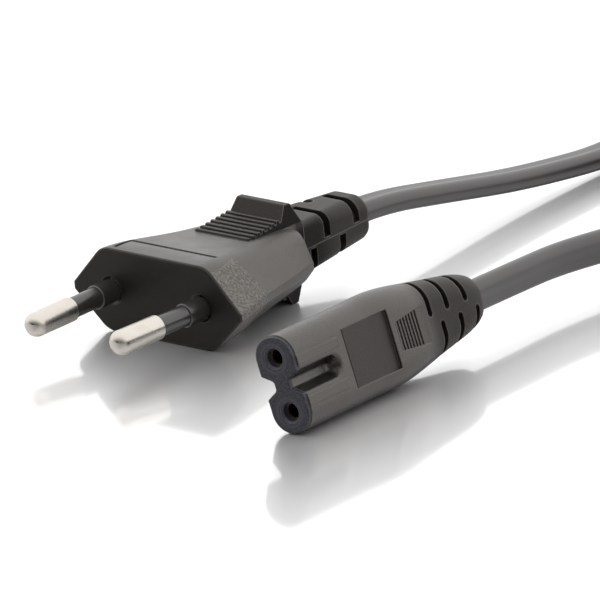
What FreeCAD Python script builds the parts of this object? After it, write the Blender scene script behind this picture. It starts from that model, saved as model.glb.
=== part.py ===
import FreeCAD, Part
import math
import os
import re
import Sketcher
from FreeCAD import Placement, Rotation, Vector

# Mains lead with a figure-eight appliance connector on one end and a flat two-pin plug on the
# other. Millimetres. The connector stands on its narrow edge over the origin, its contact face
# towards +X and +Z up. The plug lies beside it and the spare cord is wound into a tied coil.

doc = FreeCAD.newDocument("figure_eight_lead")
sheet = doc.addObject("Spreadsheet::Sheet", "Sizes")

SIZES = {
    # Connector: figure-eight nose, measured back from the contact face
    "face_half_width": 7.75,
    "face_half_thick": 3.65,
    "end_flat_half": 0.15,
    "contact_pitch": 8.6,
    "entry_radius": 1.45,
    "entry_depth": 1.4,
    "entry_chamfer": 0.3,
    "plate_thick": 0.8,
    "plate_inset": 0.12,
    "plate_edge_radius": 0.3,
    "nose_length": 18.0,
    "nose_blend": 1.5,
    "groove_length": 11.4,
    "groove_depth": 2.2,
    "groove_lip_half": 1.9,
    "groove_mouth_half": 2.4,
    "groove_lip_round": 0.75,
    "groove_lip_rise": 0.02,
    "groove_floor_half": 0.7,
    "groove_floor_radius": 0.6,
    "lobe_pad_end": 11.2,
    "lobe_pad_inner": 2.5,
    "lobe_pad_outer": 4.0,
    "lobe_pad_height": 0.1,
    # Connector: label panel, finger grip and strain relief
    "panel_start": 12.8,
    "panel_end": 24.1,
    "panel_half_height": 4.7,
    "panel_depth": 0.1,
    "panel_line_width": 0.35,
    "panel_line_depth": 0.12,
    "shoulder_at": 25.8,
    "shoulder_half_width": 7.75,
    "shoulder_half_thick": 4.2,
    "taper_start": 31.0,
    "taper_half_width": 7.2,
    "taper_half_thick": 4.2,
    "connector_length": 48.6,
    "relief_end_half_width": 4.35,
    "relief_end_half_thick": 3.75,
    "relief_end_radius": 1.2,
    "finger_start": 25.2,
    "finger_end": 31.0,
    "finger_ramp": 2.4,
    "finger_front_half_height": 2.3,
    "finger_rear_half_height": 3.1,
    "finger_floor": 3.85,
    "finger_rib_count": 7,
    "finger_rib_gap": 0.42,
    "finger_rib_depth": 0.3,
    "slot_width": 1.15,
    "slot_pitch": 4.6,
    "slot_first": 34.3,
    "slot_stagger": 2.4,
    "slot_count": 3,
    "slot_spine_half": 0.6,
    "slot_seam_half": 0.55,
    "slot_core_wall": 0.8,
    # Connector: insert, contacts and conductors
    "tower_radius": 2.7,
    "insert_web_half": 0.7,
    "insert_length": 16.0,
    "contact_outer_radius": 1.8,
    "contact_bore_radius": 1.2,
    "contact_bore_length": 12.0,
    "crimp_radius": 1.2,
    "crimp_length": 5.0,
    "crimp_depth": 4.0,
    "strand_radius": 0.65,
    "strand_bare": 1.0,
    "core_radius": 1.12,
    "core_half_pitch": 1.2,
    "connector_core_end": 37.0,
    # Flat twin cord
    "cord_half_width": 2.9,
    "cord_half_thick": 1.7,
    "cord_edge_flat": 0.1,
    "connector_lead_out": 31.7,
    "plug_lead_out": 13.2,
    # Plug body, measured back from the pin face
    "plug_half_width": 17.8,
    "plug_half_thick": 7.0,
    "plug_top_half": 11.2,
    "plug_edge_half": 0.6,
    "plug_edge_drop": 0.4,
    "plug_edge_fall": 0.035,
    "plug_corner_radius": 4.0,
    "plug_flat_at": 4.0,
    "plug_flat_half_width": 16.45,
    "plug_flat_half_thick": 6.95,
    "plug_flat_top_half": 10.75,
    "plug_slope_at": 10.0,
    "plug_slope_half_width": 14.4,
    "plug_slope_half_thick": 6.2,
    "plug_slope_top_half": 9.9,
    "plug_dip_at": 17.0,
    "plug_dip_half_width": 12.35,
    "plug_dip_half_thick": 5.5,
    "plug_dip_top_half": 8.6,
    "plug_body_length": 27.0,
    "plug_rear_half_width": 9.45,
    "plug_rear_half_thick": 4.9,
    "plug_rear_top_half": 6.9,
    "plug_rear_radius": 0.9,
    "plug_face_radius": 0.4,
    "label_line_at": 4.5,
    "label_line_width": 0.75,
    "label_line_depth": 0.5,
    "label_line_front": 1.0,
    "label_half_width": 9.2,
    # Plug: thumb grip, the same above and below
    "grip_start": 16.0,
    "grip_ramp_length": 8.2,
    "grip_ramp_low": 5.35,
    "grip_ramp_high": 6.3,
    "grip_rib_count": 7,
    "grip_rib_rise": 0.5,
    "grip_rib_run": 0.12,
    "grip_rib_top": 0.5,
    "grip_wall_lean": 1.4,
    "grip_top": 8.45,
    "under_grip_top": 8.15,
    "grip_top_length": 1.3,
    "grip_back_length": 2.0,
    "under_grip_back_length": 0.5,
    "grip_back_low": 4.2,
    "grip_half_width": 5.0,
    "grip_foot_half_width": 5.7,
    "grip_edge_radius": 0.35,
    # Plug: strain relief
    "plug_length": 45.9,
    "relief_root_half_width": 5.7,
    "relief_root_half_thick": 4.5,
    "relief_root_radius": 1.0,
    "relief_tip_half_width": 4.4,
    "relief_tip_half_thick": 3.85,
    "relief_tip_radius": 2.9,
    "relief_tip_round": 0.8,
    "relief_overlap": 1.4,
    "cut_width": 1.6,
    "cut_pitch": 3.75,
    "cut_first": 31.2,
    "cut_count": 4,
    "cut_long_reach": 2.2,
    "cut_short_reach": 1.3,
    "cut_round": 0.65,
    "cut_seam_half": 0.4,
    "cut_core_wall": 0.8,
    # Plug: pins, sleeves, bridge and conductors
    "pin_pitch_face": 19.0,
    "pin_pitch_tip": 18.0,
    "pin_length": 19.5,
    "pin_radius": 2.0,
    "pin_tip_radius": 1.75,
    "pin_bare_from": 10.0,
    "pin_shank_radius": 1.25,
    "pin_tail_length": 17.0,
    "sleeve_radius": 1.7,
    "sleeve_collar_radius": 1.95,
    "sleeve_collar_length": 4.0,
    "sleeve_collar_round": 0.2,
    "sleeve_ring_chamfer": 0.4,
    "sleeve_seat": 2.0,
    "bridge_wall": 2.5,
    "bridge_length": 7.5,
    "bridge_half_width": 11.7,
    "bridge_half_height": 3.0,
    "bridge_edge_radius": 0.8,
    "plug_core_end": 30.0,
    # How the two ends lie on the floor
    "connector_lean": 16.4,
    "plug_turn": 6.0,
    "plug_behind": 30.05,
    "plug_beside": 46.25,
    # Coil of spare cord and its tie
    "coil_radius": 32.0,
    "coil_columns": 4,
    "coil_layers": 2,
    "coil_turn_gap": 0.6,
    "coil_centre_back": 163.0,
    "coil_centre_side": 4.0,
    "tie_width": 7.0,
    "tie_thick": 0.9,
    "tie_gap": 0.15,
}

for row, (name, number) in enumerate(SIZES.items(), start=1):
    sheet.set(f"A{row}", name)
    sheet.set(f"B{row}", str(number))
    sheet.setAlias(f"B{row}", name)
doc.recompute()


def formula(text):
    """Turn a sum of size names into an expression on the sheet."""
    return re.sub(
        r"[A-Za-z_]\w*",
        lambda word: f"Sizes.{word[0]}" if word[0] in SIZES else word[0],
        text,
    )


def size(text):
    """The present value of a sum of size names, in millimetres or degrees."""
    return float(sheet.evalExpression(formula(text)))


def bind(thing, **sums):
    """Tie properties of a feature to sums of sizes; a double underscore stands for a dot."""
    for name, text in sums.items():
        thing.setExpression(name.replace("__", "."), formula(text))
    return thing


def at(thing, x="0", y="0", z="0"):
    """Tie a feature's place to sums of sizes."""
    return bind(thing, Placement__Base__x=x, Placement__Base__y=y, Placement__Base__z=z)


ACROSS = Rotation(Vector(1, 1, 1), 120)
UPRIGHT = Rotation(Vector(1, 0, 0), 90)
ALONG = Rotation(Vector(0, 1, 0), 90)
INTO_Y = Rotation(Vector(1, 0, 0), -90)
FLAT = Rotation()
BACKWARD = Rotation(Vector(0, 1, 0), -90)
HALF_ROUND = Rotation(Vector(1, 0, 0), 180)

# How far cutting shapes reach past the surface they open, and the inset halfway round a rounded rim
CLEAR = "1"
RIM_SHARE = "0.293"


def outline(name, corners, turn=FLAT, x="0", y="0", z="0"):
    """A closed sketch through corners (u, v) or (u, v, radius), each a sum of sizes."""
    sketch = doc.addObject("Sketcher::SketchObject", name)
    sketch.Placement = Placement(Vector(), turn)
    at(sketch, x, y, z)
    points = [Vector(size(corner[0]), size(corner[1]), 0) for corner in corners]
    count = len(corners)
    starts, ends, arcs = list(points), list(points), [None] * count
    for i, corner in enumerate(corners):
        if len(corner) < 3:
            continue
        back = (points[i - 1] - points[i]).normalize()
        ahead = (points[(i + 1) % count] - points[i]).normalize()
        half_angle = back.getAngle(ahead) / 2
        radius = size(corner[2])
        reach = radius / math.tan(half_angle)
        centre = points[i] + (back + ahead).normalize() * (radius / math.sin(half_angle))
        ends[i] = points[i] + back * reach
        starts[i] = points[i] + ahead * reach
        first, last = ends[i] - centre, starts[i] - centre
        left_turn = (-back).cross(ahead).z > 0
        if not left_turn:
            first, last = last, first
        arcs[i] = (centre, radius, math.atan2(first.y, first.x), math.atan2(last.y, last.x), left_turn)
    sides = []
    for i in range(count):
        sides.append(sketch.addGeometry(Part.LineSegment(starts[i], ends[(i + 1) % count]), False))
    for i, corner in enumerate(corners):
        before, after = sides[i - 1], sides[i]
        if arcs[i] is None:
            sketch.addConstraint(Sketcher.Constraint("Coincident", before, 2, after, 1))
            held = (after, 1)
        else:
            centre, radius, first, last, left_turn = arcs[i]
            circle = Part.Circle(centre, Vector(0, 0, 1), radius)
            bend = sketch.addGeometry(Part.ArcOfCircle(circle, first, last), False)
            mark = sketch.addGeometry(Part.Point(points[i]), True)
            near, far = (1, 2) if left_turn else (2, 1)
            sketch.addConstraint(Sketcher.Constraint("Tangent", before, 2, bend, near))
            sketch.addConstraint(Sketcher.Constraint("Tangent", bend, far, after, 1))
            sketch.addConstraint(Sketcher.Constraint("PointOnObject", mark, 1, before))
            sketch.addConstraint(Sketcher.Constraint("PointOnObject", mark, 1, after))
            rounding = sketch.addConstraint(Sketcher.Constraint("Radius", bend, radius))
            sketch.setExpression(f"Constraints[{rounding}]", formula(corner[2]))
            held = (mark, 1)
        for kind, value, text in (("DistanceX", points[i].x, corner[0]), ("DistanceY", points[i].y, corner[1])):
            held_at = sketch.addConstraint(Sketcher.Constraint(kind, -1, 1, held[0], held[1], value))
            sketch.setExpression(f"Constraints[{held_at}]", formula(text))
    return sketch


def round_section(name, back, half_y, half_z, radius):
    """A rounded rectangle across the X axis, a stated way behind the face."""
    corners = [
        (f"{u}({half_y})", f"{v}({half_z})", radius)
        for u, v in (("-", "-"), ("", "-"), ("", ""), ("-", ""))
    ]
    return outline(name, corners, ACROSS, x=f"-({back})")


def loft(name, sections, ruled=False):
    body = doc.addObject("Part::Loft", name)
    body.Sections = sections
    body.Solid = True
    body.Ruled = ruled
    return body


def rim(name, section, end, radius, inward):
    """Round the rim of an end with two narrow bands; inward is + for a front end and - for a rear one."""
    halfway = f"{RIM_SHARE} * {radius}"
    bands = [("0", radius), (halfway, halfway), (radius, "0")]
    return loft(
        name,
        [section(f"{name}_{i}", f"{end} {inward} {depth}", inset) for i, (depth, inset) in enumerate(bands)],
        ruled=True,
    )


def extrude(name, sketch, length, reverse=False, symmetric=False):
    body = doc.addObject("Part::Extrusion", name)
    body.Base = sketch
    body.DirMode = "Normal"
    body.Solid = True
    body.Reversed = reverse
    body.Symmetric = symmetric
    return bind(body, LengthFwd=length)


def revolve(name, sketch, axis, base=Vector()):
    body = doc.addObject("Part::Revolution", name)
    body.Source = sketch
    body.Axis = axis
    body.Base = base
    body.Angle = 360
    body.Solid = True
    return body


def cylinder(name, radius, length, turn=FLAT, x="0", y="0", z="0"):
    rod = doc.addObject("Part::Cylinder", name)
    rod.Placement = Placement(Vector(), turn)
    bind(rod, Radius=radius, Height=length)
    return at(rod, x, y, z)


def flare(name, radius, chamfer):
    """A cone that opens a hole's mouth towards +X."""
    cone = doc.addObject("Part::Cone", name)
    cone.Placement = Placement(Vector(), BACKWARD)
    return bind(cone, Radius1=f"{radius} + {chamfer}", Radius2=radius, Height=chamfer)


def box(name, low, high):
    """A box between two corners, each three sums of sizes."""
    block = doc.addObject("Part::Box", name)
    bind(
        block,
        Length=f"({high[0]}) - ({low[0]})",
        Width=f"({high[1]}) - ({low[1]})",
        Height=f"({high[2]}) - ({low[2]})",
    )
    return at(block, *low)


def fuse(name, pieces):
    body = doc.addObject("Part::MultiFuse", name)
    body.Shapes = pieces
    body.Refine = False
    return body


def common(name, pieces):
    body = doc.addObject("Part::MultiCommon", name)
    body.Shapes = pieces
    return body


def cut(name, base, tool):
    body = doc.addObject("Part::Cut", name)
    body.Base = base
    body.Tool = tool
    body.Refine = False
    return body


def mirrored(name, source, normal):
    twin = doc.addObject("Part::Mirroring", name)
    twin.Source = source
    twin.Normal = normal
    twin.Base = Vector()
    return twin


def rounded(name, base, radius, wanted):
    """Round the edges of a solid that a test picks out."""
    doc.recompute()
    edges = [i for i, edge in enumerate(base.Shape.Edges, start=1) if wanted(edge)]
    body = doc.addObject("Part::Fillet", name)
    body.Base = base
    body.Edges = [(i, size(radius), size(radius)) for i in edges]
    return body


# Placing the finished sub-parts

nodes = {}


def move(thing, frame):
    """Carry a feature from its own end's frame into another one."""
    doc.recompute()
    here = thing.Placement
    for axis in "xyz":
        thing.setExpression(f"Placement.Base.{axis}", None)
    thing.Placement = frame.multiply(here)


def rest_height(thing, turn):
    """How far a turned feature has to be lifted to stand on the floor."""
    doc.recompute()
    shape = thing.Shape.copy()
    shape.Placement = Placement(Vector(), turn)
    return -shape.optimalBoundingBox(False).ZMin


def place(label, thing, frame):
    """Name a finished sub-part and put it in its place."""
    move(thing, frame)
    thing.Label = label
    nodes[label] = thing


# Connector overmould: nose, shoulder and tapering strain relief

end_radius = "{} - end_flat_half"
nose_section = ("face_half_thick", "face_half_width", end_radius.format("face_half_thick"))
nose = extrude(
    "nose",
    round_section("nose_section", "plate_thick", *nose_section),
    "nose_length - plate_thick",
    reverse=True,
)
relief_middle = "(taper_start + connector_length) / 2"
middle_half_width = "(taper_half_width + relief_end_half_width) / 2"
middle_half_thick = "(taper_half_thick + relief_end_half_thick) / 2"
stations = [
    ("nose_length", "face_half_thick", "face_half_width"),
    ("nose_length + nose_blend", "face_half_thick", "face_half_width"),
    ("shoulder_at", "shoulder_half_thick", "shoulder_half_width"),
    ("taper_start", "taper_half_thick", "taper_half_width"),
    (relief_middle, middle_half_thick, middle_half_width),
    ("connector_length - relief_end_radius", "relief_end_half_thick", "relief_end_half_width"),
]
rear = loft(
    "rear",
    [
        round_section(f"rear_section_{i}", back, thick, wide, end_radius.format(f"({thick})"))
        for i, (back, thick, wide) in enumerate(stations)
    ],
)


def connector_end_section(name, back, inset):
    half_thick = f"relief_end_half_thick - {inset}"
    return round_section(
        name, back, half_thick, f"relief_end_half_width - {inset}", end_radius.format(half_thick)
    )


rear_rim = rim("rear_rim", connector_end_section, "connector_length", "relief_end_radius", "-")
pads = [
    box(
        f"lobe_pad_{name}",
        ("-lobe_pad_end", "-face_half_thick - lobe_pad_height", low),
        ("-plate_thick", "face_half_thick + lobe_pad_height", high),
    )
    for name, low, high in (
        ("upper", "lobe_pad_inner", "lobe_pad_outer"),
        ("lower", "-lobe_pad_outer", "-lobe_pad_inner"),
    )
]
connector_blank = fuse("connector_blank", [nose, rear, rear_rim] + pads)

# Cuts on one broad side of the connector, mirrored to the other

groove_floor = "face_half_thick - groove_depth"
groove_lip = "face_half_thick + groove_lip_rise"
groove_top = f"face_half_thick + {CLEAR}"
groove_end = "groove_length - groove_mouth_half"
groove_side = [
    ("groove_floor_half", groove_floor, "groove_floor_radius"),
    ("groove_lip_half", groove_lip, "groove_lip_round"),
    ("groove_mouth_half", groove_lip),
    ("groove_mouth_half", groove_top),
]
near_wall = [(across, f"-({half})", *radius) for half, across, *radius in groove_side]
far_wall = [(across, half, *radius) for half, across, *radius in reversed(groove_side)]
groove_run = extrude(
    "groove_run",
    outline("groove_section", near_wall + far_wall, ACROSS, x=CLEAR),
    f"{groove_end} + {CLEAR}",
    reverse=True,
)
groove_half = outline(
    "groove_half",
    [("0", groove_floor)] + groove_side + [("0", groove_top)],
    x=f"-({groove_end})",
)
groove_round = revolve(
    "groove_round", groove_half, Vector(0, 1, 0), Vector(size(f"-({groove_end})"), 0, 0)
)
beyond = f"shoulder_half_thick + {CLEAR}"
panel = box(
    "panel",
    ("-panel_end", "face_half_thick - panel_depth", "-panel_half_height"),
    ("-panel_start", beyond, "panel_half_height"),
)
panel_line = box(
    "panel_line",
    (
        "-panel_start - panel_line_width",
        "face_half_thick - panel_depth - panel_line_depth",
        "-panel_half_height",
    ),
    ("-panel_start", beyond, "panel_half_height"),
)
finger_rear = "finger_end + finger_ramp"
finger_recess = extrude(
    "finger_recess",
    outline(
        "finger_profile",
        [
            ("-finger_start", "finger_floor"),
            ("-finger_start", beyond),
            (f"-({finger_rear})", beyond),
            (f"-({finger_rear})", "shoulder_half_thick"),
            ("-finger_end", "finger_floor"),
        ],
    ),
    "2 * finger_rear_half_height",
    symmetric=True,
)
finger_outline = extrude(
    "finger_outline",
    outline(
        "finger_plan",
        [
            ("-finger_start", "-finger_front_half_height"),
            ("-finger_start", "finger_front_half_height"),
            (f"-({finger_rear})", "finger_rear_half_height"),
            (f"-({finger_rear})", "-finger_rear_half_height"),
        ],
        UPRIGHT,
    ),
    beyond,
    reverse=True,
)
rib_pitch = "(finger_end - finger_start - finger_rib_gap) / finger_rib_count"
rib_gaps = []
for i in range(int(size("finger_rib_count")) + 1):
    rear_edge = f"-finger_start - {i} * {rib_pitch} - finger_rib_gap"
    rib_gaps.append(
        box(
            f"rib_gap_{i}",
            (rear_edge, "finger_floor - finger_rib_depth", "-finger_rear_half_height"),
            (f"{rear_edge} + finger_rib_gap", beyond, "finger_rear_half_height"),
        )
    )
finger_grip = common("finger_grip", [fuse("finger_cuts", [finger_recess] + rib_gaps), finger_outline])


def relief_slot(name, back, upward):
    """A slot from the spine to the narrow edge, with a rounded inner end."""
    sign = "" if upward else "-"
    spine_end = f"{sign}(slot_spine_half + slot_width / 2)"
    far = f"{sign}(shoulder_half_width + {CLEAR})"
    low, high = (spine_end, far) if upward else (far, spine_end)
    straight = box(
        f"{name}_straight",
        (f"-({back}) - slot_width / 2", "slot_seam_half", low),
        (f"-({back}) + slot_width / 2", beyond, high),
    )
    inner_end = cylinder(
        f"{name}_end",
        "slot_width / 2",
        f"{beyond} - slot_seam_half",
        INTO_Y,
        f"-({back})",
        "slot_seam_half",
        spine_end,
    )
    return fuse(name, [straight, inner_end])


slots = []
for i in range(int(size("slot_count"))):
    slots.append(relief_slot(f"upper_slot_{i}", f"slot_first + {i} * slot_pitch", True))
    slots.append(relief_slot(f"lower_slot_{i}", f"slot_first + slot_stagger + {i} * slot_pitch", False))
relief_core = extrude(
    "relief_core",
    round_section(
        "relief_core_section",
        "taper_start",
        "cord_half_thick + slot_core_wall",
        "cord_half_width + slot_core_wall",
        "cord_half_thick + slot_core_wall - cord_edge_flat",
    ),
    "connector_length - taper_start",
    reverse=True,
)
slot_cuts = cut("slot_cuts", fuse("all_slots", slots), relief_core)
side_cuts = fuse(
    "side_cuts", [groove_run, groove_round, panel, panel_line, finger_grip, slot_cuts]
)
both_sides = fuse("both_sides", [side_cuts, mirrored("other_side_cuts", side_cuts, Vector(0, 1, 0))])
connector_form = cut("connector_form", connector_blank, both_sides)

# Connector insert: a face plate with two towers that hold the contacts

plate_blank = extrude(
    "plate_blank",
    round_section(
        "plate_section",
        "0",
        "face_half_thick - plate_inset",
        "face_half_width - plate_inset",
        "face_half_thick - plate_inset - end_flat_half",
    ),
    "plate_thick",
    reverse=True,
)
groove_pair = fuse("groove_pair", [groove_run, mirrored("far_groove_run", groove_run, Vector(0, 1, 0))])
face_plate = rounded(
    "face_plate",
    cut("face_plate_sharp", plate_blank, groove_pair),
    "plate_edge_radius",
    lambda edge: edge.BoundBox.XMin > -0.01,
)
half_pitch = {"upper": "contact_pitch / 2", "lower": "-contact_pitch / 2"}
towers = [
    cylinder(f"{end}_tower", "tower_radius", "insert_length", BACKWARD, z=height)
    for end, height in half_pitch.items()
]
web = box(
    "insert_web",
    ("-insert_length", "-insert_web_half", "-contact_pitch / 2"),
    ("-plate_thick", "insert_web_half", "contact_pitch / 2"),
)
insert_form = fuse("insert_form", [face_plate, web] + towers)
holes = []
for end, height in half_pitch.items():
    holes.append(
        cylinder(f"{end}_entry", "entry_radius", f"entry_depth + {CLEAR}", BACKWARD, CLEAR, "0", height)
    )
    holes.append(
        cylinder(
            f"{end}_seat",
            "contact_outer_radius",
            "insert_length - entry_depth",
            BACKWARD,
            "-entry_depth",
            "0",
            height,
        )
    )
    holes.append(at(flare(f"{end}_flare", "entry_radius", "entry_chamfer"), z=height))
contact_insert = cut("contact_insert", insert_form, fuse("contact_holes", holes))

# Connector contacts: drawn tubes with a crimp barrel behind

contact_end = "insert_length"


def turned_body(name, corners):
    """A body turned about the X axis from a half profile."""
    body = doc.addObject("PartDesign::Body", name)
    plane = next(item for item in body.Origin.OriginFeatures if item.Role == "XY_Plane")
    sketch = outline(f"{name}_profile", corners)
    body.addObject(sketch)
    sketch.AttachmentSupport = [(plane, "")]
    sketch.MapMode = "FlatFace"
    doc.recompute()
    turned = body.newObject("PartDesign::Revolution", f"{name}_turned")
    turned.Profile = sketch
    turned.ReferenceAxis = (sketch, ["H_Axis"])
    turned.Angle = 360
    body.Tip = turned
    return body


contact_profile = [
    ("-entry_depth", "contact_bore_radius"),
    ("-entry_depth", "contact_outer_radius"),
    (f"-{contact_end}", "contact_outer_radius"),
    (f"-{contact_end}", "crimp_radius"),
    (f"-{contact_end} - crimp_length", "crimp_radius"),
    (f"-{contact_end} - crimp_length", "strand_radius"),
    (f"-{contact_end} - crimp_length + crimp_depth", "strand_radius"),
    (f"-{contact_end} - crimp_length + crimp_depth", "0"),
    ("-entry_depth - contact_bore_length", "0"),
    ("-entry_depth - contact_bore_length", "contact_bore_radius"),
][::-1]


def strand(name, back, length, y="0", z="0"):
    return cylinder(name, "strand_radius", length, BACKWARD, f"-({back})", y, z)


def ring(name, radius, where):
    circle = doc.addObject("Part::Circle", name)
    circle.Placement = where
    return bind(circle, Radius=radius)


strand_start = f"{contact_end} + crimp_length - crimp_depth"
strand_length = "crimp_depth + strand_bare"
core_start = f"{contact_end} + crimp_length + strand_bare"


def connector_core(name, sign):
    ends = [
        ring(f"{name}_front", "core_radius", Placement(Vector(), ALONG)),
        ring(f"{name}_rear", "core_radius", Placement(Vector(), ALONG)),
    ]
    at(ends[0], f"-({core_start})", "0", f"{sign} * contact_pitch / 2")
    at(ends[1], "-connector_core_end", "0", f"{sign} * core_half_pitch")
    return loft(name, ends)


cord_section = ("cord_half_thick", "cord_half_width", "cord_half_thick - cord_edge_flat")
connector_cavity = [insert_form]
connector_inside = []
for end, height in half_pitch.items():
    sign = "1" if end == "upper" else "-1"
    barrel = cylinder(
        f"{end}_barrel", "crimp_radius", "crimp_length", BACKWARD, f"-{contact_end}", "0", height
    )
    connector_cavity += [
        barrel,
        strand(f"{end}_strand_room", strand_start, strand_length, z=height),
        connector_core(f"{end}_core_room", sign),
    ]
    connector_inside += [
        (f"contact_{end}", at(turned_body(f"{end}_contact", contact_profile), z=height)),
        (f"strands_connector_{end}", strand(f"{end}_strand", strand_start, strand_length, z=height)),
        (f"core_connector_{end}", connector_core(f"{end}_core", sign)),
    ]
connector_cavity.append(
    extrude(
        "connector_cord_room",
        round_section("connector_cord_section", "connector_core_end", *cord_section),
        "connector_length - connector_core_end",
        reverse=True,
    )
)
connector_body = cut("connector_overmould", connector_form, fuse("connector_cavity", connector_cavity))

connector_turn = Rotation(Vector(1, 0, 0), size("connector_lean"))
connector_frame = Placement(
    Vector(size("connector_length / 2"), 0, rest_height(connector_body, connector_turn)), connector_turn
)
place("connector_body", connector_body, connector_frame)
place("contact_insert", contact_insert, connector_frame)
for label, thing in connector_inside:
    place(label, thing, connector_frame)

# Plug overmould: a flat hexagon at the pin face that narrows towards the strain relief


def plug_section(name, back, half_width, half_thick, top_half):
    """Eight-sided section; its side edges lie below the middle and fall a little towards the cord."""
    drop = f"(plug_edge_drop + plug_edge_fall * ({back}))"
    corners = []
    for v in ("-", ""):
        row = [
            (f"-({half_width})", f"{v}plug_edge_half - {drop}"),
            (f"-({top_half})", f"{v}({half_thick})", "plug_corner_radius"),
            (top_half, f"{v}({half_thick})", "plug_corner_radius"),
            (half_width, f"{v}plug_edge_half - {drop}"),
        ]
        corners += row if v == "-" else row[::-1]
    return outline(name, corners, ACROSS, x=f"-({back})")


plug_rear_at = "plug_body_length - plug_rear_radius"
plug_stations = [
    ("plug_face_radius", "plug_half_width", "plug_half_thick", "plug_top_half"),
    ("plug_flat_at", "plug_flat_half_width", "plug_flat_half_thick", "plug_flat_top_half"),
    ("plug_slope_at", "plug_slope_half_width", "plug_slope_half_thick", "plug_slope_top_half"),
    ("plug_dip_at", "plug_dip_half_width", "plug_dip_half_thick", "plug_dip_top_half"),
    (plug_rear_at, "plug_rear_half_width", "plug_rear_half_thick", "plug_rear_top_half"),
]
plug_shell = loft(
    "plug_shell",
    [plug_section(f"plug_section_{i}", *station) for i, station in enumerate(plug_stations)],
)


def plug_end_section(station):
    """The section of a plug station drawn in by an inset, for its rim."""
    half_width, half_thick, top_half = station[1:]

    def section(name, back, inset):
        return plug_section(
            name, back, f"{half_width} - {inset}", f"{half_thick} - {inset}", f"{top_half} - {inset} / 2"
        )

    return section


def relief_tip_section(name, back, inset):
    return round_section(
        name,
        back,
        f"relief_tip_half_width - {inset}",
        f"relief_tip_half_thick - {inset}",
        f"relief_tip_radius - {inset}",
    )


face_rim = rim("face_rim", plug_end_section(plug_stations[0]), "0", "plug_face_radius", "+")
plug_rear_rim = rim(
    "plug_rear_rim", plug_end_section(plug_stations[-1]), "plug_body_length", "plug_rear_radius", "-"
)
plug_relief = loft(
    "plug_relief",
    [
        round_section(
            "relief_root",
            "plug_body_length - relief_overlap",
            "relief_root_half_width",
            "relief_root_half_thick",
            "relief_root_radius",
        ),
        relief_tip_section("relief_tip", "plug_length - relief_tip_round", "0"),
    ],
)
relief_rim = rim("relief_rim", relief_tip_section, "plug_length", "relief_tip_round", "-")

# Thumb grip: a ribbed ramp up to a ridge, the same above and below

ramp_step = "grip_ramp_length / grip_rib_count"
ramp_rise = "(grip_ramp_high - grip_ramp_low) / grip_rib_count"
ramp_end = "grip_start + grip_ramp_length"
ridge_front = f"{ramp_end} + grip_wall_lean"
ridge_rear = f"{ridge_front} + grip_top_length"


def thumb_grip(name, top, back_length):
    """The ribbed ramp and ridge, with its sides drawn in towards the top."""
    profile = [("-grip_start", "0")]
    for i in range(int(size("grip_rib_count"))):
        foot = f"grip_start + {i} * {ramp_step}"
        level = f"grip_ramp_low + {i} * {ramp_rise}"
        crest = f"{level} + grip_rib_rise"
        profile += [
            (f"-({foot})", level),
            (f"-({foot}) - grip_rib_run", crest),
            (f"-({foot}) - grip_rib_run - grip_rib_top", crest),
            (f"-({foot}) - 2 * grip_rib_run - grip_rib_top", level),
        ]
    profile += [
        (f"-({ramp_end})", "grip_ramp_high"),
        (f"-({ridge_front})", top, "grip_edge_radius"),
        (f"-({ridge_rear})", top, "grip_edge_radius"),
        (f"-({ridge_rear} + {back_length})", "grip_back_low"),
        (f"-({ridge_rear} + {back_length})", "0"),
    ]
    block = extrude(
        f"{name}_block", outline(f"{name}_profile", profile, UPRIGHT), "2 * grip_foot_half_width", symmetric=True
    )
    taper = extrude(
        f"{name}_taper",
        outline(
            f"{name}_front",
            [
                ("-grip_foot_half_width", "0"),
                ("grip_foot_half_width", "0"),
                ("grip_foot_half_width", "grip_ramp_low"),
                ("grip_half_width", top),
                ("-grip_half_width", top),
                ("-grip_foot_half_width", "grip_ramp_low"),
            ],
            ACROSS,
        ),
        "plug_length",
        reverse=True,
    )
    return common(name, [block, taper])


upper_grip = thumb_grip("upper_grip", "grip_top", "grip_back_length")
under_grip = thumb_grip("under_grip", "under_grip_top", "under_grip_back_length")
lower_grip = mirrored("lower_grip", under_grip, Vector(0, 0, 1))
plug_blank = fuse(
    "plug_blank",
    [plug_shell, face_rim, plug_rear_rim, plug_relief, relief_rim, upper_grip, lower_grip],
)

# Strain relief cuts: each takes one upper corner and, turned half round, the opposite lower one

cut_reach = f"relief_root_half_width + {CLEAR}"


def relief_cut(name, back, near, turn, z):
    """A rounded slot from one side over the top, or turned half round, from the other side underneath."""
    front, rear_edge = f"-({back}) + cut_width / 2", f"-({back}) - cut_width / 2"
    if near:
        corners = [
            (rear_edge, "-cut_long_reach", "cut_round"),
            (front, "-cut_long_reach", "cut_round"),
            (front, cut_reach),
            (rear_edge, cut_reach),
        ]
    else:
        corners = [
            (rear_edge, f"-({cut_reach})"),
            (front, f"-({cut_reach})"),
            (front, "-cut_short_reach", "cut_round"),
            (rear_edge, "-cut_short_reach", "cut_round"),
        ]
    return extrude(name, outline(f"{name}_outline", corners, turn, z=z), f"{cut_reach} - cut_seam_half")


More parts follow.
